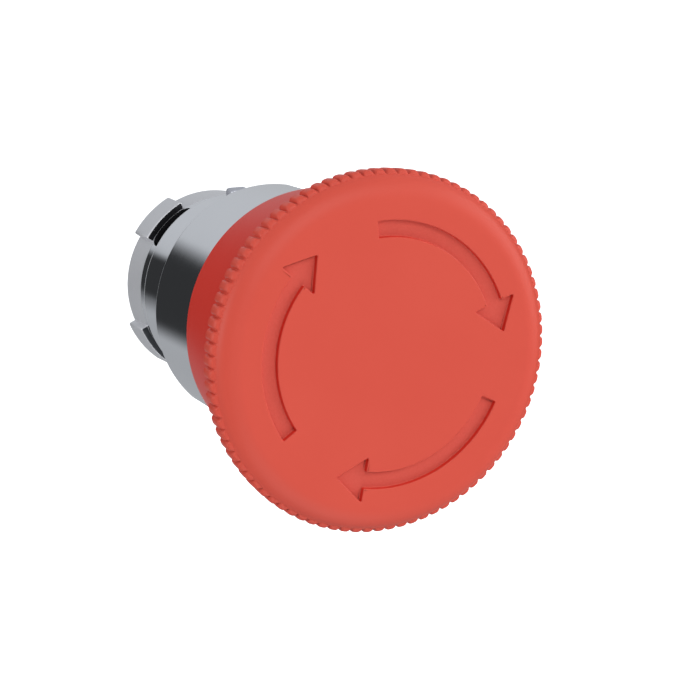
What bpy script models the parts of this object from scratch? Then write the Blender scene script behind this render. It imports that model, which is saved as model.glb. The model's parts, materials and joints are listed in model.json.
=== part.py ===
"""Emergency stop head for a 22 mm panel cut-out: a 40 mm turn-to-release mushroom on a plated zinc body.

The button's axis is Y. Its face looks along -Y, +Z is up, and the origin is where the axis crosses the
panel's front face. The dimensions below are in millimetres. A place on the part is given as u, r and deg:
u is the distance in front of the panel, r the distance from the axis, and deg the angle from +X towards +Z,
which is anticlockwise for someone facing the button.

Pressing moves the plunger and the head along +Y. Turning the head clockwise turns the stem and its cam,
and the cam's spiral slots draw the three latch pawls inwards.
"""

from math import atan2, cos, degrees, hypot, pi, radians, sin, sqrt

import bmesh
import bpy
from mathutils import Matrix, Vector

MM = 0.001
GAP = 0.3  # the clearance between pieces that touch
TURN = 45.0  # how far the head turns to release, in degrees

# Mushroom cap
FACE_U = 31.2
FACE_FLAT_R = 16.9
RIM_R = 19.35
RIB_R = 20.0
RIB_COUNT = 90
RIB_FRONT_U = FACE_U - 1.5
RIB_REAR_U = FACE_U - 4.4
SKIRT_U = 12.2
SKIRT_R = 15.15
LIP_R = 14.65
CAP_WALL = 2.0
BOSS_R = 5.0
BOSS_U = 22.3
ARROW_COUNT = 3
ARROW_MEAN_R = 13.78
ARROW_WIDTH = 1.84
ARROW_TAIL_DEG = 94.1
ARROW_NECK_DEG = 19.3
ARROW_HEAD_WIDTH = 5.0
ARROW_HEAD_LENGTH = 3.5
ARROW_DEPTH = 0.45

# Plated zinc body
BEZEL_FRONT_U = 16.3
BEZEL_FRONT_R = 14.3
BEZEL_REAR_R = 13.7
NECK_R = 11.2
NECK_END_U = -8.9
TAIL_R = 10.4
BODY_END_U = -16.1
BORE_R = 9.3
FRONT_WALL_U = 9.3
SEAL_SHELF_U = 13.2
SEAL_POCKET_R = 9.5
NOSE_HOLE_R = 6.8
NIB_WIDTH = 2.4
NIB_R = 12.0
NIB_FRONT_U = -6.2
NIB_REAR_U = -8.6
LUG_DEGS = (-39.0, 48.0, 132.0, 219.0)
LUG_HALF_DEG = 15.2
LUG_FRONT_U = -12.25
LUG_R = 11.2
SLOT_HALF_DEG = 16.9
SLOT_FRONT_U = -9.6
CIRCLIP_U = -13.3
CIRCLIP_THICK = 0.8

# Plunger, stem and latch
PLUNGER_R = 7.4
PLUNGER_SHOULDER_U = 9.0
PLUNGER_SKIRT_U = -4.0
PLUNGER_NECK_R = 6.5
PLUNGER_NECK_U = 22.0
CAVITY_R = 6.6
CAVITY_U = 7.8
STEM_BORE_R = 2.9
STEM_R = 2.4
STEM_REAR_R = 1.7
TAIL_BORE_R = 2.0
STEM_SQUARE = 3.6
TAIL_DISC_U = 2.6
TAIL_TUBE_R = 4.4
TAIL_END_U = -14.2
STEM_END_U = -15.6
SLEEVE_R = 9.0
SLEEVE_BORE_R = 7.7
SLEEVE_FLANGE_U = -9.5
SLEEVE_END_U = -13.0
PAWL_DEGS = (90.0, 210.0, 330.0)
KEY_DEGS = (30.0, 150.0, 270.0)
PAWL_U = (3.0, 5.4)
PAWL_WIDTH = 3.0
PAWL_TIP_R = 7.45
PAWL_INNER_R = 4.55
PAWL_STROKE = 1.0
PAWL_PIN_R = 0.6
PAWL_PIN_AT_R = 5.35
CAM_U = (5.65, 7.0)
CAM_R = 6.2

COARSE, MEDIUM, FINE = 32, 48, 60


def material(name, colour, roughness, metallic=0.0):
    made = bpy.data.materials.new(name)
    made.use_nodes = True
    shader = made.node_tree.nodes["Principled BSDF"]
    shader.inputs["Base Color"].default_value = (*colour, 1.0)
    shader.inputs["Roughness"].default_value = roughness
    shader.inputs["Metallic"].default_value = metallic
    return made


def clear_scene():
    for obj in list(bpy.data.objects):
        bpy.data.objects.remove(obj)


def at(u, r, deg=0.0):
    """The point at u along the axis, r from it and deg round it, in metres."""
    return Vector((r * cos(radians(deg)), -u, r * sin(radians(deg)))) * MM


def keep(name, bm, paint, group=None):
    """Makes the mesh an object of its own, shaded smooth between faces that meet at a small angle."""
    bmesh.ops.recalc_face_normals(bm, faces=bm.faces)
    mesh = bpy.data.meshes.new(name)
    bm.to_mesh(mesh)
    bm.free()
    mesh.shade_smooth()
    mesh.set_sharp_from_angle(angle=radians(35))
    obj = bpy.data.objects.new(name, mesh)
    bpy.context.scene.collection.objects.link(obj)
    if paint:
        obj.data.materials.append(paint)
    obj.parent = group
    return obj


def helper(name, bm):
    """A shape that only cuts or joins another one."""
    obj = keep(name, bm, None)
    obj.hide_render = True
    obj.display_type = "WIRE"
    return obj


def combine(obj, tool, operation):
    modifier = obj.modifiers.new(tool.name, "BOOLEAN")
    modifier.operation = operation
    modifier.solver = "EXACT"
    modifier.object = tool
    return obj


def lathe(outline, steps):
    """Turns an outline of (u, r) points round the axis. It is closed, unless both its ends are on the axis."""
    bm = bmesh.new()
    verts = [bm.verts.new(at(u, r)) for u, r in outline]
    edges = [bm.edges.new(pair) for pair in zip(verts, verts[1:])]
    if outline[0][1] > 0 or outline[-1][1] > 0:
        edges.append(bm.edges.new((verts[-1], verts[0])))
    bmesh.ops.spin(bm, geom=verts + edges, cent=(0, 0, 0), axis=(0, 1, 0), angle=2 * pi, steps=steps)
    bmesh.ops.remove_doubles(bm, verts=bm.verts, dist=1e-6)
    return bm


def ring(u0, u1, inner, outer):
    return [(u0, inner), (u0, outer), (u1, outer), (u1, inner)]


def add_prism(bm, outline, u0, u1):
    """Adds the outline of (r, deg) points, drawn out along the axis from u0 to u1."""
    face = bm.faces.new([bm.verts.new(at(u0, r, deg)) for r, deg in outline])
    drawn = bmesh.ops.extrude_face_region(bm, geom=[face])["geom"]
    moved = [v for v in drawn if isinstance(v, bmesh.types.BMVert)]
    bmesh.ops.translate(bm, verts=moved, vec=at(u1, 0) - at(u0, 0))


def prisms(outlines, u0, u1):
    bm = bmesh.new()
    for outline in outlines:
        add_prism(bm, outline, u0, u1)
    return bm


def arc(r, deg0, deg1, steps):
    return [(r, deg0 + (deg1 - deg0) * i / steps) for i in range(steps + 1)]


def sector(inner, outer, deg0, deg1, steps):
    return arc(outer, deg0, deg1, steps) + arc(inner, deg1, deg0, steps)


def beam(width, inner, outer, deg=0.0):
    """A straight-sided outline that runs outwards at deg: its width, and how near and far it reaches."""
    corners = [(inner, -width / 2), (outer, -width / 2), (outer, width / 2), (inner, width / 2)]
    return [(hypot(x, y), deg + degrees(atan2(y, x))) for x, y in corners]


def disc(centre_r, centre_deg, radius, steps=12):
    """A round outline whose centre is off the axis."""
    x, y = centre_r * cos(radians(centre_deg)), centre_r * sin(radians(centre_deg))
    points = []
    for i in range(steps):
        px, py = x + radius * cos(2 * pi * i / steps), y + radius * sin(2 * pi * i / steps)
        points.append((hypot(px, py), degrees(atan2(py, px))))
    return points


def square(side):
    return [(side / sqrt(2), 45 + 90 * i) for i in range(4)]


def helix(name, radius, wire, u0, u1, turns, paint, group, points_per_turn=12):
    """A coil spring's wire, as a curve with a round section and closed ends."""
    curve = bpy.data.curves.new(name, "CURVE")
    curve.dimensions = "3D"
    curve.bevel_depth = wire / 2 * MM
    curve.bevel_resolution = 1
    curve.use_fill_caps = True
    count = round(turns * points_per_turn)
    spline = curve.splines.new("POLY")
    spline.points.add(count)
    for i, point in enumerate(spline.points):
        share = i / count
        point.co = (*at(u0 + (u1 - u0) * share, radius, 360 * turns * share), 1.0)
    obj = bpy.data.objects.new(name, curve)
    bpy.context.scene.collection.objects.link(obj)
    obj.data.materials.append(paint)
    obj.parent = group
    return obj


def wire_ring(u, radius, wire, deg0, deg1, steps):
    """A round wire bent into an open ring, square in section."""
    half = wire / 2
    bm = bmesh.new()
    add_prism(bm, sector(radius - half, radius + half, deg0, deg1, steps), u - half, u + half)
    return bm


def arrow_outline(turned):
    """One clockwise arrow: a curved band that ends in a straight-sided head."""
    half = ARROW_WIDTH / 2
    tail, neck = ARROW_TAIL_DEG + turned, ARROW_NECK_DEG + turned
    tip_r = hypot(ARROW_MEAN_R, ARROW_HEAD_LENGTH)
    tip_deg = neck - degrees(atan2(ARROW_HEAD_LENGTH, ARROW_MEAN_R))
    barbs = ARROW_HEAD_WIDTH / 2
    return (
        arc(ARROW_MEAN_R + half, tail, neck, 12)
        + [(ARROW_MEAN_R + barbs, neck), (tip_r, tip_deg), (ARROW_MEAN_R - barbs, neck)]
        + arc(ARROW_MEAN_R - half, neck, tail, 12)
    )


def rib_outline(deg):
    """One rounded rib of the rim, rooted inside it."""
    half = 0.36 * 360 / RIB_COUNT
    root = RIM_R - 0.35
    return [(root, deg - half), (RIM_R + 0.2, deg - half), (RIB_R - 0.1, deg - 0.6 * half),
            (RIB_R, deg), (RIB_R - 0.1, deg + 0.6 * half), (RIM_R + 0.2, deg + half), (root, deg + half)]


def mushroom_cap(paint, group):
    """The red head: a shallow face, a rolled and ribbed rim, a conical skirt and a hollow boss for the stem."""
    roof = FACE_U - CAP_WALL
    edge = [(FACE_U, FACE_FLAT_R)]
    for i in range(1, 5):
        turn = radians(90 * i / 4)
        edge.append((FACE_U - 2.6 * (1 - cos(turn)), FACE_FLAT_R + (RIM_R - FACE_FLAT_R) * sin(turn)))
    outline = [
        (FACE_U, 0), *edge, (RIB_REAR_U, RIM_R), (RIB_REAR_U - 0.2, RIM_R - 0.3),
        (SKIRT_U, SKIRT_R), (SKIRT_U, LIP_R), (SKIRT_U + 2.0, LIP_R), (RIB_REAR_U, RIM_R - 2.2),
        (roof, RIM_R - 3.6), (roof, BOSS_R), (BOSS_U, BOSS_R), (BOSS_U, 0),
    ]
    cap = keep("mushroom_cap", lathe(outline, RIB_COUNT), paint, group)
    degs = [360 * (i + 0.5) / RIB_COUNT for i in range(RIB_COUNT)]
    ribs = prisms([rib_outline(d) for d in degs], RIB_REAR_U + 0.05, RIB_FRONT_U - 0.4)
    combine(cap, helper("rim_ribs", ribs), "UNION")
    arrows = [arrow_outline(-360 * i / ARROW_COUNT) for i in range(ARROW_COUNT)]
    combine(cap, helper("arrow_cutter", prisms(arrows, FACE_U - ARROW_DEPTH, FACE_U + 1)), "DIFFERENCE")
    socket = prisms([square(STEM_SQUARE + 2 * GAP)], BOSS_U - 1, 27.0)
    combine(cap, helper("socket_cutter", socket), "DIFFERENCE")
    return combine(cap, helper("cap_pin_hole", cross_rod(1.05, BOSS_R + 1)), "DIFFERENCE")


def cross_rod(radius, reach):
    """A rod across the axis, through the cap's boss and the end of the stem."""
    bm = bmesh.new()
    bmesh.ops.create_cone(bm, cap_ends=True, segments=12, radius1=radius * MM, radius2=radius * MM,
                          depth=2 * reach * MM)
    bmesh.ops.rotate(bm, verts=bm.verts, cent=(0, 0, 0), matrix=Matrix.Rotation(pi / 2, 3, "Y"))
    bmesh.ops.translate(bm, verts=bm.verts, vec=at(24.4, 0))
    return bm


def stem(paint, group):
    """The spindle: square in the cap and in the cam, round and grooved between and behind them."""
    seal_groove, clip_groove = STEM_R - 0.6, STEM_REAR_R - 0.5
    outline = [
        (22.2, 0), (22.2, STEM_R), (11.7, STEM_R), (11.7, seal_groove), (10.5, seal_groove), (10.5, STEM_R),
        (7.4, STEM_R), (7.4, STEM_REAR_R), (-14.45, STEM_REAR_R), (-14.45, clip_groove), (-15.05, clip_groove),
        (-15.05, STEM_REAR_R), (STEM_END_U, STEM_REAR_R - 0.3), (STEM_END_U, 0),
    ]
    made = keep("stem", lathe(outline, COARSE), paint, group)
    for name, ends in (("stem_head_square", (21.6, 26.5)), ("stem_cam_square", (5.2, 7.4))):
        combine(made, helper(name, prisms([square(STEM_SQUARE)], *ends)), "UNION")
    return combine(made, helper("stem_pin_hole", cross_rod(1.05, 4.0)), "DIFFERENCE")


def release_cam(paint, group):
    """The disc that turns with the stem. Each slot is a straight-rate spiral, which draws a pawl's pin inwards."""
    cam = keep("release_cam", lathe(ring(*CAM_U, 1.2, CAM_R), MEDIUM), paint, group)
    hole = prisms([square(STEM_SQUARE + 2 * GAP)], CAM_U[0] - 1, CAM_U[1] + 1)
    combine(cam, helper("cam_hole", hole), "DIFFERENCE")
    half, steps = PAWL_PIN_R + 0.25, 10
    slots = []
    for pawl_deg in PAWL_DEGS:
        path = [(PAWL_PIN_AT_R + 0.4 - (PAWL_STROKE + 0.8) * i / steps,
                 pawl_deg - 0.4 * TURN + 1.8 * TURN * i / steps) for i in range(steps + 1)]
        slots.append([(r + half, d) for r, d in path] + [(r - half, d) for r, d in reversed(path)])
    return combine(cam, helper("cam_slots", prisms(slots, CAM_U[0] - 1, CAM_U[1] + 1)), "DIFFERENCE")


def latch_pawls(paint, group):
    """Three steel pawls, each with a pin for the cam's slot."""
    for number, deg in enumerate(PAWL_DEGS, 1):
        bar = prisms([beam(PAWL_WIDTH, PAWL_INNER_R, PAWL_TIP_R)], *PAWL_U)
        pawl = keep(f"latch_pawl_{number}", bar, paint)
        pin = prisms([disc(PAWL_PIN_AT_R, 0, PAWL_PIN_R)], PAWL_U[1] - 0.5, CAM_U[1] - 0.2)
        tool = helper(f"pawl_pin_{number}", pin)
        for turned in (pawl, tool):
            turned.parent = group
            turned.rotation_euler.y = -radians(deg)
        combine(pawl, tool, "UNION")


def plunger(paint, group):
    """The sliding shell: a neck for the seal, three keys, and three windows for the pawls."""
    pocket = (3.6, 5.5, 14.2)
    outline = [
        (PLUNGER_NECK_U, pocket[1]), (PLUNGER_NECK_U, PLUNGER_NECK_R), (PLUNGER_SHOULDER_U, PLUNGER_NECK_R),
        (PLUNGER_SHOULDER_U, PLUNGER_R), (PLUNGER_SKIRT_U, PLUNGER_R), (PLUNGER_SKIRT_U, CAVITY_R),
        (CAVITY_U, CAVITY_R), (CAVITY_U, STEM_BORE_R), (PLUNGER_NECK_U, STEM_BORE_R),
        (PLUNGER_NECK_U, pocket[0]), (pocket[2], pocket[0]), (pocket[2], pocket[1]),
    ]
    shell = keep("plunger", lathe(outline, MEDIUM), paint, group)
    keys = [beam(1.8, PLUNGER_R - 0.4, PLUNGER_R + 0.55, deg) for deg in KEY_DEGS]
    combine(shell, helper("plunger_keys", prisms(keys, PLUNGER_SKIRT_U + 0.5, 8.5)), "UNION")
    windows = [beam(PAWL_WIDTH + 2 * GAP, CAVITY_R - 0.6, PLUNGER_R + 1, deg) for deg in PAWL_DEGS]
    tool = helper("pawl_windows", prisms(windows, PAWL_U[0] - GAP, PAWL_U[1] + GAP))
    return combine(shell, tool, "DIFFERENCE")


def guide_sleeve(paint, group):
    """The fixed liner of the bore: keyways, a latch groove and a flange for the return spring."""
    groove = (2.3, -1.3, 8.4)
    outline = [
        (PLUNGER_SHOULDER_U, SLEEVE_BORE_R), (PLUNGER_SHOULDER_U, SLEEVE_R), (SLEEVE_END_U, SLEEVE_R),
        (SLEEVE_END_U, 8.2), (-10.9, 8.2), (-10.9, 4.8), (SLEEVE_FLANGE_U, 4.8),
        (SLEEVE_FLANGE_U, SLEEVE_BORE_R), (groove[1], SLEEVE_BORE_R), (groove[1], groove[2]),
        (groove[0], groove[2]), (groove[0], SLEEVE_BORE_R),
    ]
    sleeve = keep("guide_sleeve", lathe(outline, MEDIUM), paint, group)
    ways = [beam(2.4, SLEEVE_BORE_R - 0.6, SLEEVE_BORE_R + 0.6, deg) for deg in KEY_DEGS]
    tool = helper("keyways", prisms(ways, SLEEVE_FLANGE_U + 0.1, PLUNGER_SHOULDER_U + 1))
    return combine(sleeve, tool, "DIFFERENCE")


def bezel_body(paint, group):
    """The one-piece plated casting: flared bezel, neck with its locating nib, and the slotted tail with four lugs."""
    outline = [
        (BEZEL_FRONT_U, 13.4), (BEZEL_FRONT_U - 0.5, BEZEL_FRONT_R - 0.1), (BEZEL_FRONT_U - 1.2, BEZEL_FRONT_R),
        (0.45, BEZEL_REAR_R), (0.12, BEZEL_REAR_R - 0.12), (0, BEZEL_REAR_R - 0.45),
        (0, 12.85), (0.9, 12.85), (0.9, 11.65), (0, 11.65),
        (0, NECK_R), (NECK_END_U + 0.25, NECK_R), (NECK_END_U, NECK_R - 0.25), (NECK_END_U, TAIL_R),
        (BODY_END_U + 0.4, TAIL_R), (BODY_END_U, TAIL_R - 0.4), (BODY_END_U, BORE_R),
        (CIRCLIP_U - CIRCLIP_THICK - 0.15, BORE_R), (CIRCLIP_U - CIRCLIP_THICK - 0.15, 9.85),
        (CIRCLIP_U + 0.15, 9.85), (CIRCLIP_U + 0.15, BORE_R), (FRONT_WALL_U, BORE_R),
        (FRONT_WALL_U, NOSE_HOLE_R), (SEAL_SHELF_U, NOSE_HOLE_R), (SEAL_SHELF_U, SEAL_POCKET_R),
        (BEZEL_FRONT_U, SEAL_POCKET_R), (BEZEL_FRONT_U, 10.5), (3.0, 10.9), (3.0, 12.2), (BEZEL_FRONT_U, 12.6),
    ]
    body = keep("bezel_body", lathe(outline, FINE), paint, group)
    nib = prisms([beam(NIB_WIDTH, NECK_R - 0.8, NIB_R, 90)], NIB_FRONT_U, NIB_REAR_U)
    combine(body, helper("locating_nib", nib), "UNION")
    lugs = [sector(TAIL_R - 0.6, LUG_R, d - LUG_HALF_DEG, d + LUG_HALF_DEG, 6) for d in LUG_DEGS]
    combine(body, helper("tail_lugs", prisms(lugs, LUG_FRONT_U, BODY_END_U + 0.3)), "UNION")
    slots = [sector(BORE_R - 1, LUG_R + 1, d - SLOT_HALF_DEG, d + SLOT_HALF_DEG, 6) for d in LUG_DEGS]
    return combine(body, helper("tail_slots", prisms(slots, LUG_FRONT_U, SLOT_FRONT_U)), "DIFFERENCE")


def pusher_plate(paint, group):
    """The disc behind the plunger, with two pads that work the contact blocks."""
    plate = keep("pusher_plate", lathe(ring(-11.3, -13.0, TAIL_TUBE_R + 0.25, 7.6), MEDIUM), paint, group)
    pads = [beam(3.4, 5.6, 7.4, deg) for deg in (0, 180)]
    return combine(plate, helper("pusher_pads", prisms(pads, -12.8, -15.4)), "UNION")


def plunger_tail(paint, group):
    """The disc and tube that close the plunger and carry the pusher plate."""
    groove = TAIL_TUBE_R - 0.5
    outline = [
        (TAIL_DISC_U, TAIL_BORE_R), (TAIL_DISC_U, CAVITY_R - 0.25), (1.0, CAVITY_R - 0.25), (1.0, TAIL_TUBE_R),
        (-13.25, TAIL_TUBE_R), (-13.25, groove), (-13.85, groove), (-13.85, TAIL_TUBE_R),
        (TAIL_END_U, TAIL_TUBE_R), (TAIL_END_U, TAIL_BORE_R),
    ]
    return keep("plunger_tail", lathe(outline, MEDIUM), paint, group)


def clip(name, u, thick, inner, outer, opening, paint, group):
    """A retaining ring, open by the given angle at the bottom."""
    outline = sector(inner, outer, opening / 2 - 90, 270 - opening / 2, 24)
    return keep(name, prisms([outline], u, u - thick), paint, group)


def torus(u, radius, tube, name, paint, group):
    section = [(u + tube * cos(2 * pi * i / 8), radius + tube * sin(2 * pi * i / 8)) for i in range(8)]
    return keep(name, lathe(section, COARSE), paint, group)


def group_at_axis(name, parent=None):
    empty = bpy.data.objects.new(name, None)
    bpy.context.scene.collection.objects.link(empty)
    empty.parent = parent
    return empty


def build():
    red = material("red_plastic", (0.70, 0.07, 0.05), 0.42)
    chrome = material("chrome_plate", (0.78, 0.79, 0.81), 0.12, 1.0)
    steel = material("spring_steel", (0.55, 0.55, 0.56), 0.30, 1.0)
    black = material("black_nylon", (0.03, 0.03, 0.032), 0.50)
    grey = material("grey_acetal", (0.42, 0.43, 0.44), 0.45)
    rubber = material("black_rubber", (0.02, 0.02, 0.02), 0.75)

    housing = group_at_axis("housing")
    slider = group_at_axis("slider", housing)
    head = group_at_axis("head", slider)

    bezel_body(chrome, housing)
    guide_sleeve(black, housing)
    keep("panel_gasket", lathe(ring(0.75, -0.3, 11.8, 12.7), FINE), rubber, housing)
    keep("shaft_seal", lathe([(15.0, 7.3), (15.0, 9.2), (13.5, 9.2), (13.5, 7.3), (14.0, 6.75), (14.5, 6.75)],
                             MEDIUM), rubber, housing)
    keep("seal_retainer", lathe(ring(15.9, 15.3, 7.0, 9.25), MEDIUM), steel, housing)
    clip("sleeve_circlip", CIRCLIP_U, CIRCLIP_THICK, 8.5, 9.65, 24, steel, housing)
    helix("return_spring", 5.5, 0.8, 0.35, SLEEVE_FLANGE_U + 0.65, 5.5, steel, housing)

    plunger(black, slider)
    plunger_tail(grey, slider)
    pusher_plate(grey, slider)
    clip("pusher_clip", -13.3, 0.5, 4.1, 5.4, 60, steel, slider)
    keep("pawl_spring", wire_ring(4.2, 3.2, 0.5, -60, 240, 20), steel, slider)
    latch_pawls(steel, slider)

    mushroom_cap(red, head)
    keep("cap_pin", cross_rod(0.75, BOSS_R - 0.3), steel, head)
    stem(steel, head)
    release_cam(grey, head)
    torus(11.1, STEM_R - 0.1, 0.4, "stem_o_ring", rubber, head)
    keep("cam_washer", lathe(ring(7.6, 7.2, 2.85, 5.4), COARSE), steel, head)
    clip("stem_clip", -14.5, 0.5, 1.4, 3.6, 70, steel, head)
    helix("torsion_spring", 4.55, 0.7, 21.2, 14.8, 6.0, steel, head, points_per_turn=10)


clear_scene()
build()
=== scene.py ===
"""Looks for the emergency stop head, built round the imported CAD.

The button's axis is Y and its face looks along -Y. A place is given as u, r and deg, in millimetres and
degrees: u is the distance in front of the panel (y = -u), r the distance from the axis, and deg the angle
from +X towards +Z. Profiles are lists of (u, r, fillet radius). The constants are in millimetres unless they
say otherwise.
"""

import json
from math import atan2, cos, degrees, hypot, radians, sin, tan

import bmesh
import bpy
from mathutils import Matrix, Vector


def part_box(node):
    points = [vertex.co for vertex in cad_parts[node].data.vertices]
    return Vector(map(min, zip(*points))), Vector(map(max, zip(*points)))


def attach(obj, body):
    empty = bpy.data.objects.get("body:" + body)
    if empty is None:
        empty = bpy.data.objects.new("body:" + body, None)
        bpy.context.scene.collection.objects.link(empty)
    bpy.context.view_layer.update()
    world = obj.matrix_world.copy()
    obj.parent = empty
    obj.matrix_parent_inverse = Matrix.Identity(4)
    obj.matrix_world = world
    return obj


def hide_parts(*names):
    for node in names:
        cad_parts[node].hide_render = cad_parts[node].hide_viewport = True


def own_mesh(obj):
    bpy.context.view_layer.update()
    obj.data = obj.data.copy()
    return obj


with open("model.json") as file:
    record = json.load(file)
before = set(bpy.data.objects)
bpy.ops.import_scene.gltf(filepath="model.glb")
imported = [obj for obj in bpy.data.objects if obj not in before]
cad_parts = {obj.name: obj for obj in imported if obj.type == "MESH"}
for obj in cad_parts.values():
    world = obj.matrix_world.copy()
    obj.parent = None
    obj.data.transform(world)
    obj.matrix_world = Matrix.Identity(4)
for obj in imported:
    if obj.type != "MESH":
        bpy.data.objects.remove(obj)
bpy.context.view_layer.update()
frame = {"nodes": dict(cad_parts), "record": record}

MM = 0.001
SHARP_DEG = 32
BEVEL_DEG = 50

CAP_LO, CAP_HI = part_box("mushroom_cap")
BODY_LO, BODY_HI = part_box("bezel_body")
GASKET_LO, GASKET_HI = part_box("panel_gasket")

# Mushroom cap
FACE_U = -CAP_LO.y / MM
SKIRT_U = -CAP_HI.y / MM
RIB_R = CAP_HI.z / MM
FLAT_R = 16.9
RIM_R = 19.55
RIM_TAPER = 0.2
RIM_DEPTH = 2.1
RIM_STEPS = 9
SKIRT_TOP_R = 18.8
SKIRT_R = 15.15
LIP_R = 14.65
LIP_DEPTH = 2.0
ROOF_U = FACE_U - 2.0
ROOF_R = RIM_R - 3.6
HOLLOW_FRONT_R = RIM_R - 2.2
BOSS_R = 5.0
BOSS_REAR_U = 22.3
BOSS_BORE_R = 3.1
BOSS_BORE_END_U = 27.0
CAP_SHARP_DEG = 50

# Ribs. The shares are parts of a rib's length, its width or its height.
RIB_COUNT = 90
RIB_SAMPLES = 12
RIB_WIDTH_SHARE = 0.80
RIB_BLUNTNESS = 3.0
RIB_FRONT_U = FACE_U - 1.5
RIB_REAR_U = FACE_U - 4.05
RIB_RISE_SHARE = 0.30
RIB_FALL_SHARE = 0.92
RIB_REAR_SHARE = 0.90
INNER_STEPS = RIB_COUNT * 2

# Arrows
ARROW_COUNT = 3
ARROW_MEAN_R = 13.78
ARROW_WIDTH = 1.84
ARROW_TAIL_DEG = 94.1
ARROW_NECK_DEG = 19.3
ARROW_HEAD_WIDTH = 5.0
ARROW_HEAD_LENGTH = 3.5
ARROW_DEPTH = 0.60
ARROW_CORNER = 0.12
ARROW_LIP = 0.10
ARROW_ROOT = 0.08
ARROW_DRAFT = 0.04
ARROW_STEPS = 48

# Plated body
BEZEL_FRONT_U = -BODY_LO.y / MM
BODY_END_U = -BODY_HI.y / MM
BEZEL_EDGE_R = 13.5
BEZEL_WIDE_R = 14.3
BEZEL_WIDE_DEPTH = 1.2
BEZEL_REAR_R = 13.68
GROOVE_INNER_R = 11.65
GROOVE_OUTER_R = 12.85
GROOVE_DEPTH = 0.9
NECK_R = 11.2
NECK_END_U = -9.1
TAIL_R = 10.4
BORE_R = 9.3
CIRCLIP_FRONT_U = -13.15
CIRCLIP_REAR_U = -14.25
CIRCLIP_R = 9.85
SEAL_REAR_U = 9.3
SEAL_FRONT_U = 13.2
SEAL_WALL_R = 6.8
SEAL_SEAT_R = 9.5
MOAT_INNER_R, MOAT_OUTER_R = 10.5, 12.6
MOAT_FLOOR_U = 3.0
MOAT_FLOOR_INNER_R, MOAT_FLOOR_OUTER_R = 10.9, 12.2
LUG_DEGS = (-39.0, 48.0, 132.0, 219.0)
LUG_HALF_DEG = 15.2
LUG_FRONT_U = -12.25
LUG_R = 11.2
LUG_ROOT = 0.6
LUG_INSET = 0.05
LUG_BEVEL = 0.26
LUG_STEPS = 24
SLOT_HALF_DEG = 16.9
SLOT_FRONT_U = -9.6
SLOT_END_STEPS = 8
SLOT_TOOL_REACH = 1.0
NIB_FRONT_U = -6.5
NIB_REAR_U = -8.5
NIB_R = 12.0
NIB_WIDTH = 2.4
NIB_ROOT = 0.8
NIB_BEVEL = 0.4
BODY_STEPS = 288

# Panel gasket
GASKET_INNER_R = 11.8
GASKET_OUTER_R = 12.7
GASKET_STEPS = 192

# Return spring
SPRING_R = 5.5
SPRING_WIRE = 0.8
SPRING_CLOSED_PITCH = 0.82
SPRING_TURNS = 5.5
SPRING_STEPS_PER_TURN = 36
WIRE_SIDES = 12

# Pieces of the CAD model that show from behind
REAR_PIECES = (
    "pusher_plate", "plunger_tail", "guide_sleeve", "sleeve_circlip", "pusher_clip", "stem_clip", "stem",
)
REAR_BEVEL = 0.1

# Where the cap's paint changes, with painted shade on the arrows' walls and on the skirt: depths behind the
# face, and radii
ARROW_WALL_SHADE_DEPTHS = (0.04, 0.12)
ARROW_FLOOR_DEPTHS = (0.45, 0.54)
ARROW_PAINT_END_DEPTHS = (0.80, 0.85)
ARROW_PAINT_RADII = (16.55, 16.65)
SKIRT_SHADE_DEPTHS = (3.0, 5.5)

# Where the body's paint changes, with the painted shade in the slots and on the lugs' fronts: distances
# behind the panel's front, radii, and heights above the axis
BEZEL_EDGE_PAINT = (-0.28, -0.04)
BEZEL_PAINT_R = 13.0
NECK_EDGE_PAINT = (-NECK_END_U - 0.26, -NECK_END_U - 0.02)
NIB_PAINT_R = 11.25
NIB_PAINT_FROM = 5.0
SATIN_PAINT = (11.75, 11.95)
SLOT_SHADE_FROM = 9.5
BORE_SHADE_R = 10.385
BORE_SHADE_TO = 12.4
LUG_SHADE_R = 10.41
LUG_SHADE = (11.4, 12.28)
SLOT_SHADE_FADE_HEIGHTS = (-6.0, 0.0)

# Studio, in metres, with the lens and the sensor in millimetres. A card is a direction, and the angles
# from it, in degrees, where the card ends and where it is full.
VIEW_DIRECTION = Vector((0.4239, 0.8803, -0.2133))
CAMERA_FROM_FACE = Vector((-0.19438, -0.39456, 0.09660))
LENS = 216
SENSOR_WIDTH = 36
CLIP_START = 0.01
FLOOR_Z = -0.075
FLOOR_SIZE = 6.0
DARK_CARDS = (
    (Vector((-0.194, 0.981, -0.02)), 18.5, 13.5),
    (Vector((0.06, 0.997, -0.03)), 13.0, 9.0),
    (Vector((-0.50, 0.86, 0.015)), 14.5, 9.5),
    (Vector((0.92, 0.38, -0.05)), 30.0, 22.0),
    (Vector((-0.75, -0.66, -0.08)), 22.0, 15.0),
)
CARD_LIGHT = 0.035
BRIGHT_CARD = (VIEW_DIRECTION, 9.0, 6.0)
BRIGHT_CARD_LIGHT = 3.0
ROOM_LOW, ROOM_HIGH = 0.42, 0.60
ROOM_FADE = 0.4
ROOM_TINT = (0.93, 0.96, 1.0, 1.0)
WHITE = (1.0, 1.0, 1.0, 1.0)

# Each light's name, place, target and size in metres, and power in watts
LIGHTS = (
    ("key", (0.0, -0.80, 0.45), (0, -0.03, 0), 0.7, 3.35),
    ("left", (-0.90, 0.05, 0.12), (0, -0.02, 0), 0.5, 2.7),
    ("fill", (0.75, -0.30, 0.20), (0, -0.02, 0), 0.7, 3.0),
    ("bounce", (0.0, -0.50, -0.60), (0, -0.02, 0), 0.7, 2.2),
)


def at(u, r, deg=0.0):
    """The scene point, in metres, of a place in millimetres and degrees."""
    return Vector((r * cos(radians(deg)), -u, r * sin(radians(deg)))) * MM


# ---------------------------------------------------------------- mesh tools


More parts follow.
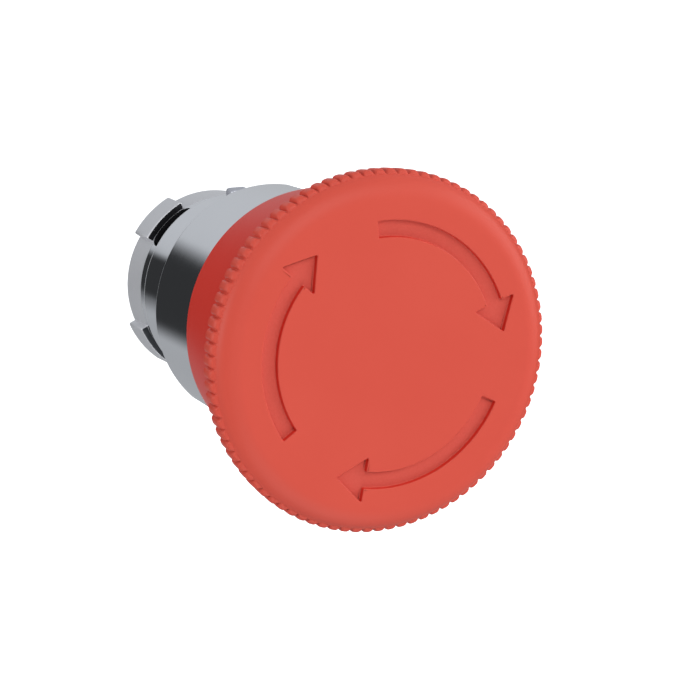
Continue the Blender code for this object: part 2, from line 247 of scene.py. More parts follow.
def fillet(before, corner, after, radius, segments):
    """The points that round the corner with an arc. The arc takes less than half of either side."""
    a, b = (before - corner).normalized(), (after - corner).normalized()
    half = a.angle(b) / 2
    if radius <= 0 or half > radians(89):
        return [corner]
    reach = min(radius / tan(half), 0.48 * (before - corner).length, 0.48 * (after - corner).length)
    radius = reach * tan(half)
    centre = corner + (a + b).normalized() * (radius / sin(half))
    start, end = corner + a * reach - centre, corner + b * reach - centre
    turn = start.angle_signed(end)
    return [centre + Matrix.Rotation(-turn * i / segments, 2) @ start for i in range(segments + 1)]


def rounded(corners, segments=4, closed=True):
    """A profile of (u, r) points from corners of (u, r, fillet radius)."""
    points = [Vector((c[0], c[1])) for c in corners]
    radii = [c[2] if len(c) > 2 else 0.0 for c in corners]
    made = []
    for i, corner in enumerate(points):
        at_end = not closed and i in (0, len(points) - 1)
        radius = 0.0 if at_end else radii[i]
        made += fillet(points[i - 1], corner, points[(i + 1) % len(points)], radius, segments)
    return [tuple(p) for p in made]


def lathe_mesh(profile, steps):
    """Turns a closed profile round the axis."""
    bm = bmesh.new()
    rings = []
    for u, r in profile:
        rings.append([bm.verts.new(at(u, r, 360 * i / steps)) for i in range(steps)])
    for row, following in zip(rings, rings[1:] + rings[:1]):
        add_strip(bm, row, following)
    bmesh.ops.recalc_face_normals(bm, faces=bm.faces)
    return bm


def add_strip(bm, row, following):
    """Joins two rings that have the same number of vertices. Either may be one vertex, repeated."""
    for i in range(len(row)):
        k = (i + 1) % len(row)
        corners = list(dict.fromkeys((row[i], row[k], following[k], following[i])))
        if len(corners) > 2:
            bm.faces.new(corners)


def piece(name, bm, paint, angle=SHARP_DEG):
    """An object made from the mesh. Edges sharper than the angle, in degrees, stay sharp."""
    mesh = bpy.data.meshes.new(name)
    bm.to_mesh(mesh)
    bm.free()
    mesh.shade_smooth()
    mesh.set_sharp_from_angle(angle=radians(angle))
    obj = bpy.data.objects.new(name, mesh)
    bpy.context.scene.collection.objects.link(obj)
    if paint:
        mesh.materials.append(paint)
        even_shading(obj)
    return obj


def even_shading(obj):
    """Lets a large face keep its own shading beside small fillets."""
    modifier = obj.modifiers.new("even_shading", "WEIGHTED_NORMAL")
    modifier.keep_sharp = True


def soften(obj):
    """Breaks the sharp edges of a piece that shows from behind."""
    modifier = obj.modifiers.new("soft_edges", "BEVEL")
    modifier.width = REAR_BEVEL * MM
    modifier.segments = 2
    modifier.limit_method = "ANGLE"
    modifier.angle_limit = radians(BEVEL_DEG)
    even_shading(obj)


def install(obj, body, slot, *nodes):
    """Makes the piece stand for the CAD nodes and move with their body."""
    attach(obj, body)
    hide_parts(*nodes)
    return obj


def prism_mesh(outlines, u0, u1):
    """Outlines of (r, deg) points, drawn out along the axis from u0 to u1."""
    bm = bmesh.new()
    for outline in outlines:
        face = bm.faces.new([bm.verts.new(at(u0, r, deg)) for r, deg in outline])
        drawn = bmesh.ops.extrude_face_region(bm, geom=[face])["geom"]
        moved = [v for v in drawn if isinstance(v, bmesh.types.BMVert)]
        bmesh.ops.translate(bm, verts=moved, vec=at(u1, 0) - at(u0, 0))
    bmesh.ops.recalc_face_normals(bm, faces=bm.faces)
    return bm


def arc(r, deg0, deg1, steps):
    """Points of (r, deg) along an arc."""
    return [(r, deg0 + (deg1 - deg0) * i / steps) for i in range(steps + 1)]


def sector(inner, outer, deg0, deg1, steps):
    """The outline of a piece of a ring."""
    return arc(outer, deg0, deg1, steps) + arc(inner, deg1, deg0, steps)


def beam(width, inner, outer, deg):
    """The outline of a bar that points outwards at the angle."""
    corners = [(inner, -width / 2), (outer, -width / 2), (outer, width / 2), (inner, width / 2)]
    return [(hypot(x, y), deg + degrees(atan2(y, x))) for x, y in corners]


def bevel_edges(bm, width, segments=3):
    """Rounds the mesh's sharp edges."""
    sharp = [e for e in bm.edges if e.is_manifold and e.calc_face_angle(0) > radians(BEVEL_DEG)]
    bmesh.ops.bevel(bm, geom=sharp, offset=width * MM, segments=segments, profile=0.5, affect="EDGES",
                    clamp_overlap=True)
    return bm


def apply_booleans(obj, tools):
    """Adds or cuts each tool, then leaves the result as the object's own mesh."""
    obj.modifiers.clear()
    for tool, operation in tools:
        modifier = obj.modifiers.new(tool.name, "BOOLEAN")
        modifier.operation = operation
        modifier.solver = "EXACT"
        modifier.object = tool
    graph = bpy.context.evaluated_depsgraph_get()
    mesh = bpy.data.meshes.new_from_object(obj.evaluated_get(graph))
    obj.modifiers.clear()
    obj.data = mesh
    for tool, _ in tools:
        bpy.data.objects.remove(tool)
    return obj


# ---------------------------------------------------------------- materials


class Nodes:
    """A material's node tree, with short names for the nodes that the paints share."""

    def __init__(self, name):
        self.material = bpy.data.materials.new(name)
        self.material.use_nodes = True
        self.tree = self.material.node_tree
        self.shader = self.tree.nodes["Principled BSDF"]
        self.place = self.add("ShaderNodeTexCoord").outputs["Object"]

    def add(self, kind, **settings):
        node = self.tree.nodes.new(kind)
        for key, value in settings.items():
            setattr(node, key, value)
        return node

    def link(self, source, socket):
        self.tree.links.new(source, socket)

    def noise(self, scale, detail=2.0, roughness=0.5, stretch=None):
        """Noise between 0 and 1. The scale is per metre."""
        node = self.add("ShaderNodeTexNoise")
        node.inputs["Scale"].default_value = scale
        node.inputs["Detail"].default_value = detail
        node.inputs["Roughness"].default_value = roughness
        source = self.place
        if stretch:
            mapping = self.add("ShaderNodeMapping")
            mapping.inputs["Scale"].default_value = stretch
            self.link(source, mapping.inputs["Vector"])
            source = mapping.outputs["Vector"]
        self.link(source, node.inputs["Vector"])
        return node.outputs["Fac"]

    def ramp(self, value, low, high, out_low, out_high):
        """Maps value from low..high to out_low..out_high, clamped."""
        node = self.add("ShaderNodeMapRange")
        limits = (("From Min", low), ("From Max", high), ("To Min", out_low), ("To Max", out_high))
        for name, number in limits:
            node.inputs[name].default_value = number
        self.link(value, node.inputs["Value"])
        return node.outputs["Result"]

    def math(self, operation, first, second):
        """One math node on two values, each a socket or a number."""
        node = self.add("ShaderNodeMath", operation=operation)
        for socket, value in zip(node.inputs, (first, second)):
            if isinstance(value, (int, float)):
                socket.default_value = value
            else:
                self.link(value, socket)
        return node.outputs["Value"]

    def product(self, first, *others):
        for other in others:
            first = self.math("MULTIPLY", first, other)
        return first

    def largest(self, first, *others):
        for other in others:
            first = self.math("MAXIMUM", first, other)
        return first

    def over(self, value, limit):
        """1 where the value, in metres, is over the limit in millimetres, and 0 elsewhere."""
        return self.math("GREATER_THAN", value, limit * MM)

    def under(self, value, limit):
        """1 where the value, in metres, is under the limit in millimetres, and 0 elsewhere."""
        return self.math("LESS_THAN", value, limit * MM)

    def band(self, value, low, high):
        """1 where the value, in metres, is between low and high millimetres, and 0 elsewhere."""
        return self.product(self.over(value, low), self.under(value, high))

    def blend(self, factor, first, second):
        """A colour between first and second."""
        node = self.add("ShaderNodeMix", data_type="RGBA")
        self.link(factor, node.inputs["Factor"])
        for socket, value in ((node.inputs[6], first), (node.inputs[7], second)):
            if isinstance(value, tuple):
                socket.default_value = (*value, 1.0)
            else:
                self.link(value, socket)
        return node.outputs[2]

    def axis_place(self):
        """The surface point's y, and its distance from the button's axis, in metres."""
        parts = self.add("ShaderNodeSeparateXYZ")
        self.link(self.place, parts.inputs[0])
        flat = self.add("ShaderNodeCombineXYZ")
        self.link(parts.outputs["X"], flat.inputs["X"])
        self.link(parts.outputs["Z"], flat.inputs["Z"])
        length = self.add("ShaderNodeVectorMath", operation="LENGTH")
        self.link(flat.outputs[0], length.inputs[0])
        return parts.outputs["Y"], length.outputs["Value"]

    def height(self):
        """The surface point's z, in metres."""
        parts = self.add("ShaderNodeSeparateXYZ")
        self.link(self.place, parts.inputs[0])
        return parts.outputs["Z"]

    def bump(self, height, distance, strength):
        """The normal for a relief of the height. The distance is in metres."""
        node = self.add("ShaderNodeBump")
        node.inputs["Strength"].default_value = strength
        node.inputs["Distance"].default_value = distance
        self.link(height, node.inputs["Height"])
        return node.outputs["Normal"]

    def finish(self, colour, roughness=None, normal=None, **constants):
        """Links what varies over the surface, and sets what doesn't on the shader's own sockets."""
        for name, source in (("Base Color", colour), ("Roughness", roughness), ("Normal", normal)):
            if source is not None:
                self.link(source, self.shader.inputs[name])
        for name, value in constants.items():
            self.shader.inputs[name.replace("_", " ")].default_value = value
        return self.material


def depth_ramp(n, y, depths, out_low, out_high):
    """Maps a range of depths behind the cap's face."""
    near, far = depths
    return n.ramp(y, (near - FACE_U) * MM, (far - FACE_U) * MM, out_low, out_high)


def red_plastic():
    """Satin moulded plastic, with painted shade as a deeper red on the skirt and on the arrows' walls. The
    arrows' floors are spark-eroded.
    """
    n = Nodes("red_plastic_moulded")
    y, radius = n.axis_place()
    inner, outer = ARROW_PAINT_RADII
    sunk = depth_ramp(n, y, ARROW_FLOOR_DEPTHS, 0.0, 1.0)
    inside = n.ramp(radius, inner * MM, outer * MM, 1.0, 0.0)
    above_roof = depth_ramp(n, y, ARROW_PAINT_END_DEPTHS, 1.0, 0.0)
    floor = n.product(sunk, inside, above_roof)
    # Where the arrows' walls get their painted shade.
    wall = n.product(depth_ramp(n, y, ARROW_WALL_SHADE_DEPTHS, 0.0, 1.0), inside, above_roof)
    # Where the skirt gets its painted shade.
    skirt = depth_ramp(n, y, SKIRT_SHADE_DEPTHS, 0.0, 1.0)
    flow = n.noise(90, 3.0)
    grain = n.noise(7000, 3.0, 0.6)
    spark = n.noise(3600, 4.0, 0.7)
    face_red = n.blend(flow, (0.625, 0.076, 0.050), (0.655, 0.087, 0.058))
    # Painted shade: the skirt is a deeper, more saturated red than the face.
    skirt_shade_red = n.blend(flow, (0.640, 0.036, 0.023), (0.672, 0.043, 0.028))
    floor_red = n.blend(spark, (0.590, 0.071, 0.049), (0.660, 0.101, 0.074))
    # Painted shade: the arrows' walls are a deeper, more saturated red than the face.
    wall_shade_red = (0.66, 0.036, 0.022)
    colour = n.blend(skirt, face_red, skirt_shade_red)
    colour = n.blend(wall, colour, wall_shade_red)
    colour = n.blend(floor, colour, floor_red)
    satin = n.ramp(grain, 0.3, 0.7, 0.37, 0.44)
    roughness = n.math("ADD", satin, n.product(floor, 0.15))
    height = n.math("ADD", n.product(grain, 0.25), n.product(spark, floor, 2.2))
    return n.finish(colour, roughness, n.bump(height, 0.00002, 0.6), Specular_IOR_Level=0.16)


def satin_share(n, y, radius, nib):
    """1 on the satin tail, the nib and the thin lines at the rear edges of the bezel and neck."""
    neck_edge = n.band(y, *NECK_EDGE_PAINT)
    bezel_edge = n.product(n.band(y, *BEZEL_EDGE_PAINT), n.over(radius, BEZEL_PAINT_R))
    start, full = SATIN_PAINT
    tail = n.ramp(y, start * MM, full * MM, 0.0, 1.0)
    return n.largest(neck_edge, bezel_edge, nib, tail)


def slot_shade_share(n, y, radius):
    """1 where shade is painted: on the slots' walls, on the bore between them and on the fronts of the lugs.
    """
    inside = n.product(n.under(radius, BORE_SHADE_R), n.under(y, BORE_SHADE_TO))
    lug_front = n.product(n.over(radius, LUG_SHADE_R), n.band(y, *LUG_SHADE))
    return n.product(n.over(y, SLOT_SHADE_FROM), n.largest(inside, lug_front))


def chrome_plate():
    """Bright plating on the bezel and neck, satin on the tail, painted shade on the nib as a darker grey, and
    painted shade in the slots.
    """
    n = Nodes("chrome_plate_cast")
    y, radius = n.axis_place()
    nib = n.product(n.over(radius, NIB_PAINT_R), n.over(y, NIB_PAINT_FROM))
    satin = satin_share(n, y, radius, nib)
    slot_shade = slot_shade_share(n, y, radius)
    cloud = n.noise(160, 3.0)
    fine = n.noise(6000, 3.0, 0.6)
    turned = n.noise(900, 3.0, 0.6, stretch=(0.15, 6.0, 0.15))
    bright = n.blend(cloud, (0.80, 0.81, 0.84), (0.84, 0.85, 0.88))
    dull = n.blend(fine, (0.69, 0.69, 0.71), (0.77, 0.77, 0.79))
    # Painted shade in the slots: near black on the upper side of the body, lighter below it.
    low, high = SLOT_SHADE_FADE_HEIGHTS
    upper = n.ramp(n.height(), low * MM, high * MM, 0.0, 1.0)
    shadow = n.blend(upper, (0.10, 0.105, 0.115), (0.03, 0.03, 0.033))
    # Painted shade: the nib is a darker grey than the plating round it.
    nib_shade_grey = (0.56, 0.57, 0.62)
    colour = n.blend(satin, bright, dull)
    colour = n.blend(nib, colour, nib_shade_grey)
    colour = n.blend(slot_shade, colour, shadow)
    gloss = n.ramp(turned, 0.3, 0.7, 0.05, 0.09)
    matt = n.ramp(fine, 0.3, 0.7, 0.50, 0.58)
    polished = n.math("SUBTRACT", 1.0, satin)
    roughness = n.math("ADD", n.product(polished, gloss), n.product(satin, matt))
    height = n.math("ADD", n.product(turned, 0.15), n.product(fine, satin))
    return n.finish(colour, roughness, n.bump(height, 0.000004, 0.5), Metallic=1.0)


def plain_metal(name, dark, light, rough):
    """Drawn or stamped metal, with faint drawing marks."""
    n = Nodes(name)
    cloud = n.noise(500, 2.0)
    drawn = n.noise(1200, 2.0, 0.5)
    colour = n.blend(cloud, dark, light)
    roughness = n.ramp(drawn, 0.3, 0.7, rough - 0.03, rough + 0.04)
    return n.finish(colour, roughness, n.bump(drawn, 0.000002, 0.2), Metallic=1.0)


def plain_plastic(name, dark, light, rough):
    """Moulded plastic or rubber, with a fine grain."""
    n = Nodes(name)
    cloud = n.noise(400, 3.0)
    grain = n.noise(6000, 3.0, 0.6)
    colour = n.blend(cloud, dark, light)
    roughness = n.ramp(grain, 0.3, 0.7, rough - 0.05, rough + 0.07)
    return n.finish(colour, roughness, n.bump(grain, 0.00001, 0.5), IOR=1.5)


# ---------------------------------------------------------------- mushroom cap


def arrow_outline(turned):
    """One clockwise arrow as flat (x, z) points in millimetres, with its corners slightly rounded."""
    half = ARROW_WIDTH / 2
    tail, neck = ARROW_TAIL_DEG + turned, ARROW_NECK_DEG + turned
    tip_r = hypot(ARROW_MEAN_R, ARROW_HEAD_LENGTH)
    tip_deg = neck - degrees(atan2(ARROW_HEAD_LENGTH, ARROW_MEAN_R))
    barbs = ARROW_HEAD_WIDTH / 2
    polar = [(r, d, 0.0) for r, d in arc(ARROW_MEAN_R + half, tail, neck, ARROW_STEPS)]
    polar += [(ARROW_MEAN_R + barbs, neck, ARROW_CORNER), (tip_r, tip_deg, ARROW_CORNER),
              (ARROW_MEAN_R - barbs, neck, ARROW_CORNER)]
    polar += [(r, d, 0.0) for r, d in arc(ARROW_MEAN_R - half, neck, tail, ARROW_STEPS)]
    # The ends of both arcs are corners too.
    for i in (0, ARROW_STEPS, ARROW_STEPS + 4, len(polar) - 1):
        polar[i] = (*polar[i][:2], ARROW_CORNER)
    corners = [(r * cos(radians(d)), r * sin(radians(d)), rounding) for r, d, rounding in polar]
    return [Vector(p) for p in rounded(corners, 3)]


def offset(points, distance):
    """Moves each point of a clockwise outline outwards by the distance, square to its two sides."""
    moved = []
    for i, point in enumerate(points):
        a = (point - points[i - 1]).normalized()
        b = (points[(i + 1) % len(points)] - point).normalized()
        first, second = Vector((-a.y, a.x)), Vector((-b.y, b.x))
        moved.append(point + (first + second) * (distance / (1 + first.dot(second))))
    return moved


def add_arrow(bm, outline):
    """Adds an arrow's rounded edge, wall and floor. Returns the edges that bound it on the face."""
    turns = [radians(30 * k) for k in range(4)]
    steps = [(2 * ARROW_LIP, 0.0)]
    steps += [(ARROW_LIP * (1 - sin(t)), ARROW_LIP * (1 - cos(t))) for t in turns]
    steps += [(-ARROW_DRAFT - ARROW_ROOT * (1 - cos(t)), ARROW_DEPTH - ARROW_ROOT * (1 - sin(t)))
              for t in turns]
    steps.append((-ARROW_DRAFT - 2 * ARROW_ROOT, ARROW_DEPTH))
    loops = []
    for distance, depth in steps:
        loop = offset(outline, distance)
        loops.append([bm.verts.new(Vector((p.x, depth - FACE_U, p.y)) * MM) for p in loop])
    for outer, inner in zip(loops, loops[1:]):
        add_strip(bm, outer, inner)
    floor = [bm.edges.get((loops[-1][i - 1], loops[-1][i])) for i in range(len(loops[-1]))]
    bmesh.ops.triangle_fill(bm, edges=floor, use_beauty=True)
    return [bm.edges.get((loops[0][i - 1], loops[0][i])) for i in range(len(loops[0]))]


def rib_height(share):
    """How far a rib stands out, from 0 to 1, a given share of the way from its front to its rear."""
    if share < RIB_RISE_SHARE:
        return (1 - (1 - share / RIB_RISE_SHARE) ** 2) ** 0.5
    if share > RIB_FALL_SHARE:
        past = (share - RIB_FALL_SHARE) / (1 - RIB_FALL_SHARE)
        return RIB_REAR_SHARE * max(0.0, 1 - past ** 2) ** 0.5
    along = (share - RIB_RISE_SHARE) / (RIB_FALL_SHARE - RIB_RISE_SHARE)
    return 1 - (1 - RIB_REAR_SHARE) * along ** 2


def rib_section(phase):
    """How far a rib stands out across its width. The phase runs from -0.5 to 0.5 over one rib and its gap."""
    side = abs(phase) / (RIB_WIDTH_SHARE / 2)
    return 0.0 if side >= 1 else (1 - side ** RIB_BLUNTNESS) ** (1 / RIB_BLUNTNESS)


def rim_point(turn):
    """A place (u, r) on the rim's rounded front, at the turn in radians from the flat face."""
    return FACE_U - RIM_DEPTH * (1 - cos(turn)), FLAT_R + (RIM_R - FLAT_R) * sin(turn)


def narrowing(u):
    """How much the rim has narrowed at u, behind its widest place."""
    behind = max(0.0, FACE_U - RIM_DEPTH - u)
    return RIM_TAPER * behind / (FACE_U - RIM_DEPTH - RIB_REAR_U)


def rim_radius(u):
    """The rim's radius between the ribs."""
    drop = min(1.0, (FACE_U - u) / RIM_DEPTH)
    return FLAT_R + (RIM_R - FLAT_R) * (1 - (1 - drop) ** 2) ** 0.5 - narrowing(u)


def cap_rings():
    """The cap's outside from its flat face to the lip, as (u, radius between ribs, height of the ribs)."""
    front = (FACE_U - RIB_FRONT_U) / RIM_DEPTH
    last = atan2((1 - (1 - front) ** 2) ** 0.5, 1 - front)
    rings = [(*rim_point(last * i / RIM_STEPS), 0.0) for i in range(RIM_STEPS + 1)]
    shares = [0.015, 0.05, 0.10, 0.17, 0.26, 0.40, 0.55, 0.70, 0.83, 0.93, 0.96, 0.985, 1.0]
    for share in shares:
        u = RIB_FRONT_U + (RIB_REAR_U - RIB_FRONT_U) * share
        rings.append((u, rim_radius(u), rib_height(share)))
    skirt = [(RIB_REAR_U, RIM_R), (RIB_REAR_U - 0.12, SKIRT_TOP_R, 0.10), (SKIRT_U, SKIRT_R, 0.16),
             (SKIRT_U, LIP_R, 0.16), (SKIRT_U + LIP_DEPTH, LIP_R)]
    rings += [(u, r, 0.0) for u, r in rounded(skirt, 4, closed=False)[1:]]
    return rings


def mushroom_cap(paint):
    """The head: flat face with arrows, ribbed rim, skirt and hollow."""
    bm = bmesh.new()
    steps = RIB_COUNT * RIB_SAMPLES
    phases = [((i % RIB_SAMPLES) + 0.5) / RIB_SAMPLES - 0.5 for i in range(steps)]
    rows = []
    for u, base, rise in cap_rings():
        lift = (RIB_R - narrowing(u) - base) * rise
        radii = [base + lift * rib_section(phase) for phase in phases]
        rows.append([bm.verts.new(at(u, r, 360 * (i + 0.5) / steps)) for i, r in enumerate(radii)])
    for row, following in zip(rows, rows[1:]):
        add_strip(bm, row, following)
    boundary = [bm.edges.get((rows[0][i - 1], rows[0][i])) for i in range(steps)]
    for number in range(ARROW_COUNT):
        boundary += add_arrow(bm, arrow_outline(-360 * number / ARROW_COUNT))
    bmesh.ops.triangle_fill(bm, edges=boundary, use_beauty=True)
    add_underside(bm, rows[-1])
    bmesh.ops.recalc_face_normals(bm, faces=bm.faces)
    return piece("mushroom_cap_moulding", bm, paint, angle=CAP_SHARP_DEG)


def add_underside(bm, lip):
    """The cap's hollow: the skirt's inner wall, the roof and the boss with its bore."""
    profile = [
        (SKIRT_U + LIP_DEPTH, LIP_R), (RIB_REAR_U, HOLLOW_FRONT_R, 1.0), (ROOF_U, ROOF_R, 0.6),
        (ROOF_U, BOSS_R, 0.6), (BOSS_REAR_U, BOSS_R, 0.3), (BOSS_REAR_U, BOSS_BORE_R, 0.2),
        (BOSS_BORE_END_U, BOSS_BORE_R), (BOSS_BORE_END_U, 0.0),
    ]
    every = len(lip) // INNER_STEPS
    start = 180 / len(lip)
    above = None
    for u, r in rounded(profile, 4, closed=False)[1:]:
        if r < 1e-6:
            row = [bm.verts.new(at(u, 0))] * INNER_STEPS
        else:
            row = [bm.verts.new(at(u, r, 360 * i / INNER_STEPS + start)) for i in range(INNER_STEPS)]
        if above:
            add_strip(bm, above, row)
        else:
            join_lip(bm, lip, row, every)
        above = row


def join_lip(bm, lip, row, every):
    """Joins the finely divided lip to a row that has one vertex for every few of the lip's."""
    for i in range(len(row)):
        wide = [lip[(i * every + k) % len(lip)] for k in range(every + 1)]
        bm.faces.new([*wide, row[(i + 1) % len(row)], row[i]])


# ---------------------------------------------------------------- plated body


def body_profile():
    """The casting's section. The moat is the ring-shaped hollow in the bezel's front."""
    front, end = BEZEL_FRONT_U, BODY_END_U
    bezel = [
        (front, MOAT_OUTER_R, 0.3), (front, BEZEL_EDGE_R, 0.3), (front - BEZEL_WIDE_DEPTH, BEZEL_WIDE_R, 0.6),
        (0.0, BEZEL_REAR_R, 0.35),
    ]
    groove = [
        (0, GROOVE_OUTER_R, 0.1), (GROOVE_DEPTH, GROOVE_OUTER_R), (GROOVE_DEPTH, GROOVE_INNER_R),
        (0, GROOVE_INNER_R, 0.1),
    ]
    neck = [(0, NECK_R, 0.25), (NECK_END_U, NECK_R, 0.2), (NECK_END_U, TAIL_R, 0.15)]
    tail = [(end, TAIL_R, 0.35), (end, BORE_R, 0.25)]
    circlip_groove = [
        (CIRCLIP_REAR_U, BORE_R), (CIRCLIP_REAR_U, CIRCLIP_R), (CIRCLIP_FRONT_U, CIRCLIP_R),
        (CIRCLIP_FRONT_U, BORE_R),
    ]
    seal_seat = [
        (SEAL_REAR_U, BORE_R), (SEAL_REAR_U, SEAL_WALL_R, 0.2), (SEAL_FRONT_U, SEAL_WALL_R),
        (SEAL_FRONT_U, SEAL_SEAT_R), (front, SEAL_SEAT_R, 0.2),
    ]
    moat = [
        (front, MOAT_INNER_R, 0.2), (MOAT_FLOOR_U, MOAT_FLOOR_INNER_R), (MOAT_FLOOR_U, MOAT_FLOOR_OUTER_R),
    ]
    return rounded(bezel + groove + neck + tail + circlip_groove + seal_seat + moat)


def lug_mesh():
    """The lugs at the tail's end."""
    root = TAIL_R - LUG_ROOT
    lugs = [sector(root, LUG_R, d - LUG_HALF_DEG, d + LUG_HALF_DEG, LUG_STEPS) for d in LUG_DEGS]
    return bevel_edges(prism_mesh(lugs, LUG_FRONT_U, BODY_END_U + LUG_INSET), LUG_BEVEL)


def nib_mesh():
    """The nib on top of the neck, which sets the button's angle in the panel."""
    nib = prism_mesh([beam(NIB_WIDTH, NECK_R - NIB_ROOT, NIB_R, 90)], NIB_FRONT_U, NIB_REAR_U)
    return bevel_edges(nib, NIB_BEVEL, segments=4)


def bezel_body(paint):
    """The plated casting, turned from its section, with its nib, lugs and slots."""
    body = piece("plated_body", lathe_mesh(body_profile(), BODY_STEPS), paint)
    tools = [(piece("nib_tool", nib_mesh(), None), "UNION"), (piece("lug_tool", lug_mesh(), None), "UNION")]
    for deg in LUG_DEGS:
        tools.append((piece(f"slot_tool_{deg:.0f}", slot_mesh(deg), None), "DIFFERENCE"))
    body = apply_booleans(body, tools)
    # The booleans made a new mesh, so its shading is set again.
    body.data.shade_smooth()
    body.data.set_sharp_from_angle(angle=radians(SHARP_DEG))
    even_shading(body)
    return body


def slot_mesh(deg):
    """A slot through the tail's wall, with round ends."""
    middle, half = (SLOT_FRONT_U + LUG_FRONT_U) / 2, (SLOT_FRONT_U - LUG_FRONT_U) / 2
    reach = SLOT_HALF_DEG - degrees(half / TAIL_R)
    path = []
    for side in (1, -1):
        for k in range(SLOT_END_STEPS + 1):
            turn = radians(90 - 180 * k / SLOT_END_STEPS)
            across = reach + degrees(half * cos(turn) / TAIL_R)
            path.append((middle + side * half * sin(turn), side * across))
    bm = bmesh.new()
    inner = [bm.verts.new(at(u, BORE_R - SLOT_TOOL_REACH, deg + d)) for u, d in path]
    outer = [bm.verts.new(at(u, LUG_R + SLOT_TOOL_REACH, deg + d)) for u, d in path]
    bm.faces.new(inner)
    bm.faces.new(list(reversed(outer)))
    add_strip(bm, inner, outer)
    bmesh.ops.recalc_face_normals(bm, faces=bm.faces)
    return bm


def panel_gasket(paint):
    """The ring in the bezel's rear groove, rounded where it meets the panel."""
    lo, hi = -GASKET_HI.y / MM, -GASKET_LO.y / MM
    corners = [
        (lo, GASKET_INNER_R, 0.3), (lo, GASKET_OUTER_R, 0.3),
        (hi, GASKET_OUTER_R, 0.1), (hi, GASKET_INNER_R, 0.1),
    ]
    return piece("gasket_ring", lathe_mesh(rounded(corners), GASKET_STEPS), paint)


# ---------------------------------------------------------------- return spring


def return_spring(paint):
    """The wire of the spring round the plunger's tail, with a closed turn at each end."""
    lo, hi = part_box("return_spring")
    half = SPRING_WIRE / 2
    front, rear = -lo.y / MM - half, -hi.y / MM + half
    open_turns = SPRING_TURNS - 2
    open_pitch = (front - rear - 2 * SPRING_CLOSED_PITCH) / open_turns
    steps = round(SPRING_TURNS * SPRING_STEPS_PER_TURN)
    sides = [radians(360 * k / WIRE_SIDES) for k in range(WIRE_SIDES)]
    bm = bmesh.new()
    rows = []
    for i in range(steps + 1):
        turn = SPRING_TURNS * i / steps
        opened = min(max(turn - 1, 0), open_turns)
        u = front - SPRING_CLOSED_PITCH * (turn - opened) - open_pitch * opened
        places = [(u + half * sin(side), SPRING_R + half * cos(side)) for side in sides]
        rows.append([bm.verts.new(at(*place, 360 * turn)) for place in places])
    for row, following in zip(rows, rows[1:]):
        add_strip(bm, row, following)
    bm.faces.new(rows[0])
    bm.faces.new(list(reversed(rows[-1])))
    bmesh.ops.recalc_face_normals(bm, faces=bm.faces)
    return piece("return_spring_coil", bm, paint)


def press_spring(spring):
    """Gives the spring its own copy of its mesh."""
    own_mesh(spring)


# ---------------------------------------------------------------- studio


def area_light(name, place, target, size, power):
    data = bpy.data.lights.new(name, "AREA")
    data.shape = "DISK"
    data.size = size
    data.energy = power
    lamp = bpy.data.objects.new(name, data)
    lamp.location = place
    lamp.rotation_euler = (Vector(target) - Vector(place)).to_track_quat("-Z", "Y").to_euler()
    bpy.context.scene.collection.objects.link(lamp)


def studio_world():
    """A grey room, lighter above, with dark cards and a bright one for the plating to mirror.

    The camera itself sees plain white.
    """
    world = bpy.data.worlds.new("studio")
    world.use_nodes = True
    bpy.context.scene.world = world
    tree = world.node_tree
    tree.nodes.clear()
    place = tree.nodes.new("ShaderNodeTexCoord").outputs["Generated"]

    def near(direction, outer, inner):
        """1 within inner degrees of the direction, and 0 beyond outer degrees."""
        dot = tree.nodes.new("ShaderNodeVectorMath")
        dot.operation = "DOT_PRODUCT"
        tree.links.new(place, dot.inputs[0])
        dot.inputs[1].default_value = direction.normalized()
        share = tree.nodes.new("ShaderNodeMapRange")
        share.interpolation_type = "SMOOTHSTEP"
        share.inputs["From Min"].default_value = cos(radians(outer))
        share.inputs["From Max"].default_value = cos(radians(inner))
        tree.links.new(dot.outputs["Value"], share.inputs["Value"])
        return share.outputs["Result"]

    def towards(value, share, end):
        """The value, changed to end where the share is 1."""
        mix = tree.nodes.new("ShaderNodeMix")
        tree.links.new(share, mix.inputs["Factor"])
        tree.links.new(value, mix.inputs[2])
        mix.inputs[3].default_value = end
        return mix.outputs[0]

    up = tree.nodes.new("ShaderNodeSeparateXYZ")
    tree.links.new(place, up.inputs[0])
    room_light = tree.nodes.new("ShaderNodeMapRange")
    limits = (("From Min", -ROOM_FADE), ("From Max", ROOM_FADE), ("To Min", ROOM_LOW), ("To Max", ROOM_HIGH))
    for name, number in limits:
        room_light.inputs[name].default_value = number
    tree.links.new(up.outputs["Z"], room_light.inputs["Value"])
    strength = towards(room_light.outputs["Result"], near(*BRIGHT_CARD), BRIGHT_CARD_LIGHT)
    for card in DARK_CARDS:
        strength = towards(strength, near(*card), CARD_LIGHT)
    room = tree.nodes.new("ShaderNodeBackground")
    room.inputs["Color"].default_value = ROOM_TINT
    tree.links.new(strength, room.inputs["Strength"])
    seen = tree.nodes.new("ShaderNodeBackground")
    seen.inputs["Color"].default_value = WHITE
    rays = tree.nodes.new("ShaderNodeLightPath")
    mix = tree.nodes.new("ShaderNodeMixShader")
    tree.links.new(rays.outputs["Is Camera Ray"], mix.inputs[0])
    tree.links.new(room.outputs[0], mix.inputs[1])
    tree.links.new(seen.outputs[0], mix.inputs[2])
    out = tree.nodes.new("ShaderNodeOutputWorld")
    tree.links.new(mix.outputs[0], out.inputs[0])


def studio_floor():
    """A pale floor that casts no light or shadow on the part."""
    bm = bmesh.new()
    bmesh.ops.create_grid(bm, x_segments=1, y_segments=1, size=FLOOR_SIZE)
    bmesh.ops.translate(bm, verts=bm.verts, vec=(0, 0, FLOOR_Z))
    n = Nodes("studio_floor")
    colour = n.blend(n.noise(2.0), (0.90, 0.90, 0.90), (0.93, 0.93, 0.93))
    n.shader.inputs["Emission Color"].default_value = WHITE
    floor = piece("studio_floor", bm, n.finish(colour, Roughness=0.9, Emission_Strength=0.7))
    floor.visible_glossy = False
    floor.visible_diffuse = False
    floor.visible_shadow = False


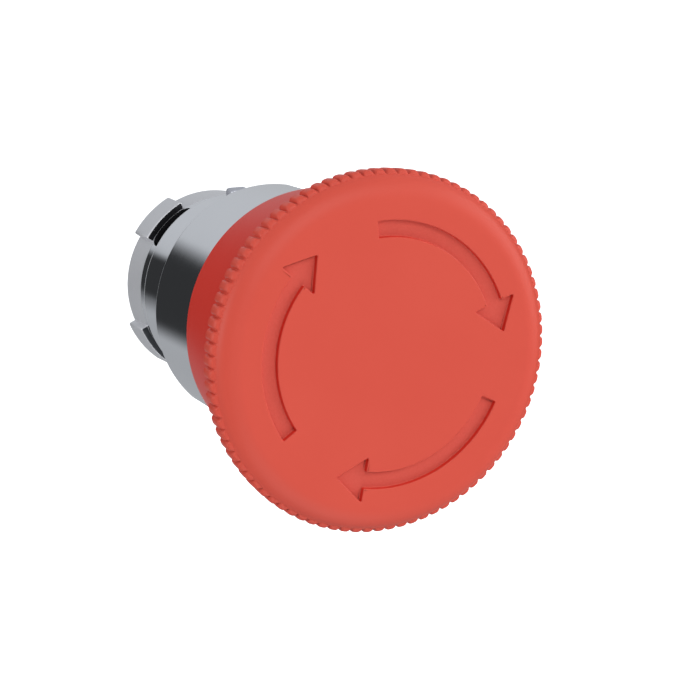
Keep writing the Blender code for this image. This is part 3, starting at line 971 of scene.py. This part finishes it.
def photographers_camera():
    data = bpy.data.cameras.new("camera")
    data.lens = LENS
    data.sensor_width = SENSOR_WIDTH
    data.clip_start = CLIP_START
    camera = bpy.data.objects.new("camera", data)
    camera.location = at(FACE_U, 0) + CAMERA_FROM_FACE
    camera.rotation_mode = "QUATERNION"
    camera.rotation_quaternion = VIEW_DIRECTION.to_track_quat("-Z", "Y")
    bpy.context.scene.collection.objects.link(camera)
    bpy.context.scene.camera = camera


# ---------------------------------------------------------------- assembly


# Name, darker colour, lighter colour and roughness
STEEL = ("spring_steel_bright", (0.42, 0.42, 0.44), (0.48, 0.48, 0.50), 0.30)
NYLON = ("black_nylon_moulded", (0.022, 0.022, 0.024), (0.034, 0.034, 0.036), 0.48)
ACETAL = ("grey_acetal_moulded", (0.50, 0.51, 0.51), (0.57, 0.58, 0.58), 0.40)
RUBBER = ("black_rubber_moulded", (0.012, 0.012, 0.012), (0.022, 0.022, 0.022), 0.70)


def make_paints():
    """One material for each of the record's material slots."""
    return {
        "red_plastic": red_plastic(),
        "chrome_plate": chrome_plate(),
        "spring_steel": plain_metal(*STEEL),
        "black_nylon": plain_plastic(*NYLON),
        "grey_acetal": plain_plastic(*ACETAL),
        "black_rubber": plain_plastic(*RUBBER),
    }


def build():
    """Paints the CAD nodes, and puts detailed pieces in place of four of them."""
    paints = make_paints()
    slots = {s["node"]: s["material_slot"] for s in frame["record"]["subparts"]}
    for name, node in frame["nodes"].items():
        node.data.materials.clear()
        node.data.materials.append(paints[slots[name]])
    for name in REAR_PIECES:
        soften(frame["nodes"][name])
    install(mushroom_cap(paints["red_plastic"]), "head", "red_plastic", "mushroom_cap")
    install(bezel_body(paints["chrome_plate"]), "housing", "chrome_plate", "bezel_body")
    install(panel_gasket(paints["black_rubber"]), "housing", "black_rubber", "panel_gasket")
    spring = install(return_spring(paints["spring_steel"]), "housing", "spring_steel", "return_spring")
    press_spring(spring)


build()
studio_world()
studio_floor()
for light in LIGHTS:
    area_light(*light)
photographers_camera()
bpy.context.scene.view_settings.view_transform = "Standard"
